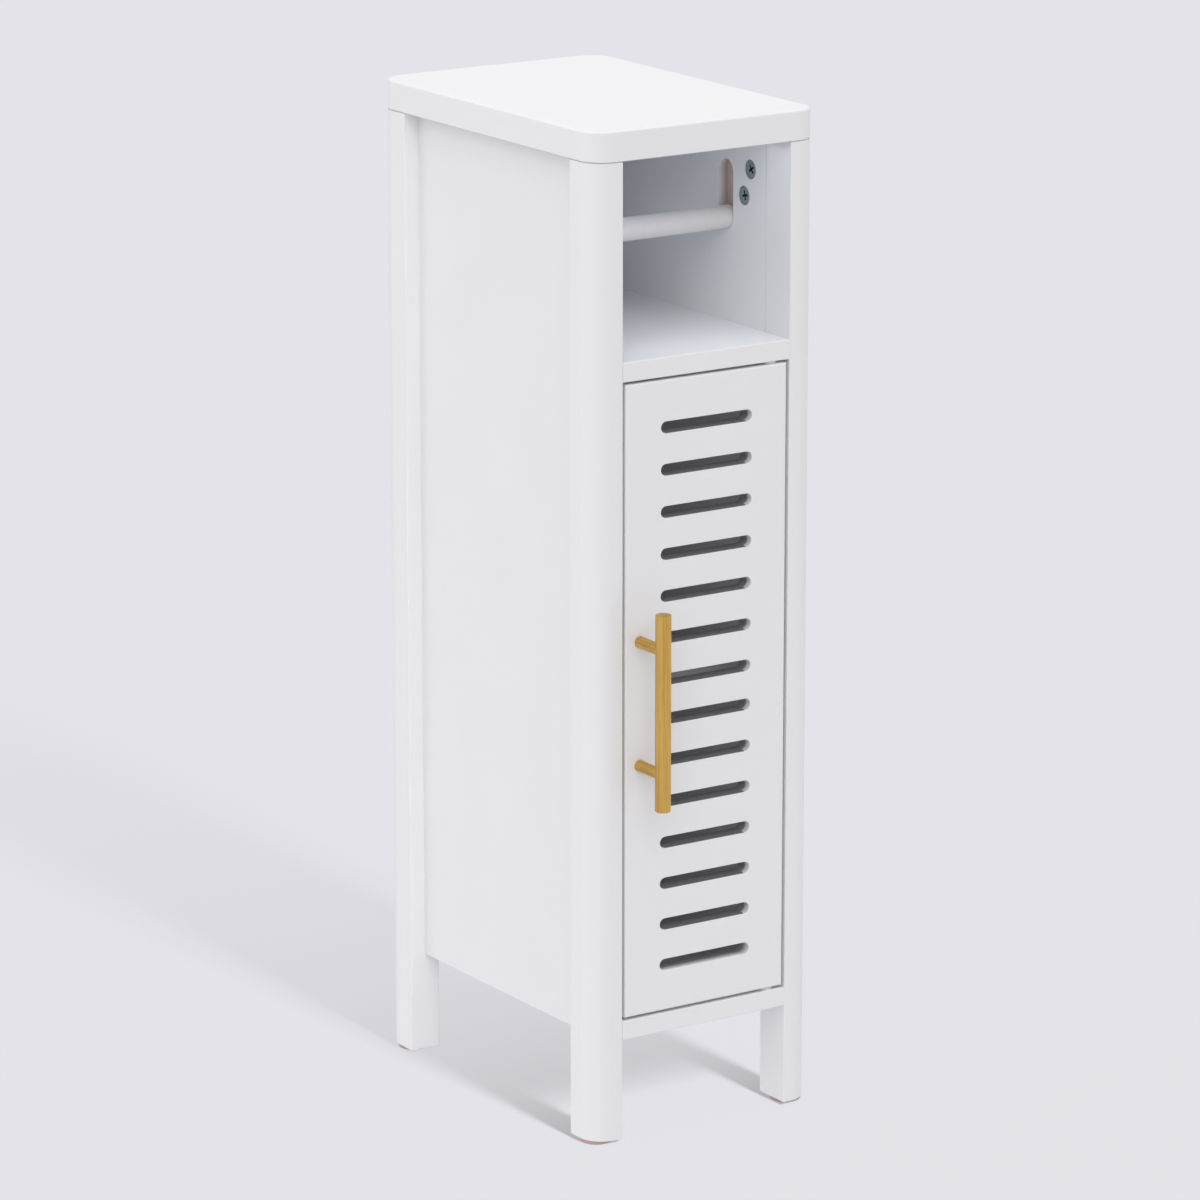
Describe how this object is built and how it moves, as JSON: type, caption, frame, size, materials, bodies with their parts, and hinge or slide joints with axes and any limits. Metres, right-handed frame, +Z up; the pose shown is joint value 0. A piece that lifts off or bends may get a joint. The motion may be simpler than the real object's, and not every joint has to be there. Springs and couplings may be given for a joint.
{
  "type": "toilet roll cabinet",
  "caption": "Tall narrow free-standing bathroom cabinet on legs, with a roll bar in an open niche under the top and a slotted door with a bar handle on the reserve below.",
  "frame": {"origin": "on the floor, under the middle of the whole outline, handle included", "axes": "+Z up, +X to the right seen from the front, the door faces -Y"},
  "size_m": [0.202, 0.3376, 0.78],
  "materials": {
    "white_paint": "satin painted fibreboard",
    "white_board": "painted hardboard",
    "bar_paint": "satin painted turned wood",
    "cast_zinc": "die-cast, dull",
    "plated_steel": "zinc plated",
    "beech": "fluted, unfinished",
    "nylon": "moulded",
    "white_plastic": "moulded",
    "ferrite": "ground",
    "brushed_brass": "brushed",
    "glide_felt": "pressed felt"
  },
  "bodies": {
    "cabinet": {"top_board": "white_paint", "front_left_leg": "white_paint", "front_right_leg": "white_paint", "rear_left_leg": "white_paint", "rear_right_leg": "white_paint", "left_side_panel": "white_paint", "right_side_panel": "white_paint", "dividing_shelf": "white_paint", "bottom_panel": "white_paint", "inner_shelf": "white_paint", "back_panel": "white_board", "cam_locks": "cast_zinc", "cam_bolts": "plated_steel", "dowels": "beech", "shelf_pins": "plated_steel", "upper_pivot_bush": "nylon", "lower_pivot_bush": "nylon", "catch_housing": "white_plastic", "catch_magnet": "ferrite", "catch_poles": "plated_steel", "catch_screws": "plated_steel", "glide_front_left": "glide_felt", "glide_front_right": "glide_felt", "glide_rear_left": "glide_felt", "glide_rear_right": "glide_felt"},
    "door": {"door": "white_paint", "upper_pivot_pin": "plated_steel", "lower_pivot_pin": "plated_steel", "strike_plate": "plated_steel", "strike_screw": "plated_steel", "handle_bar": "brushed_brass", "handle_post_upper": "brushed_brass", "handle_post_lower": "brushed_brass", "handle_studs": "plated_steel", "handle_screws": "plated_steel"},
    "roll_bar": {"roll_bar": "bar_paint"}
  },
  "joints": [
    {"name": "door_hinge", "type": "hinge", "parent": "cabinet", "child": "door", "pos_m": [0.0605, -0.12375, 0.3445], "axis": [0, 0, 1], "range_deg": [0, 120]},
    {"name": "bar_lift", "type": "slide", "parent": "cabinet", "child": "roll_bar", "axis": [0, 0, 1], "range_m": [0, 0.035]}
  ]
}
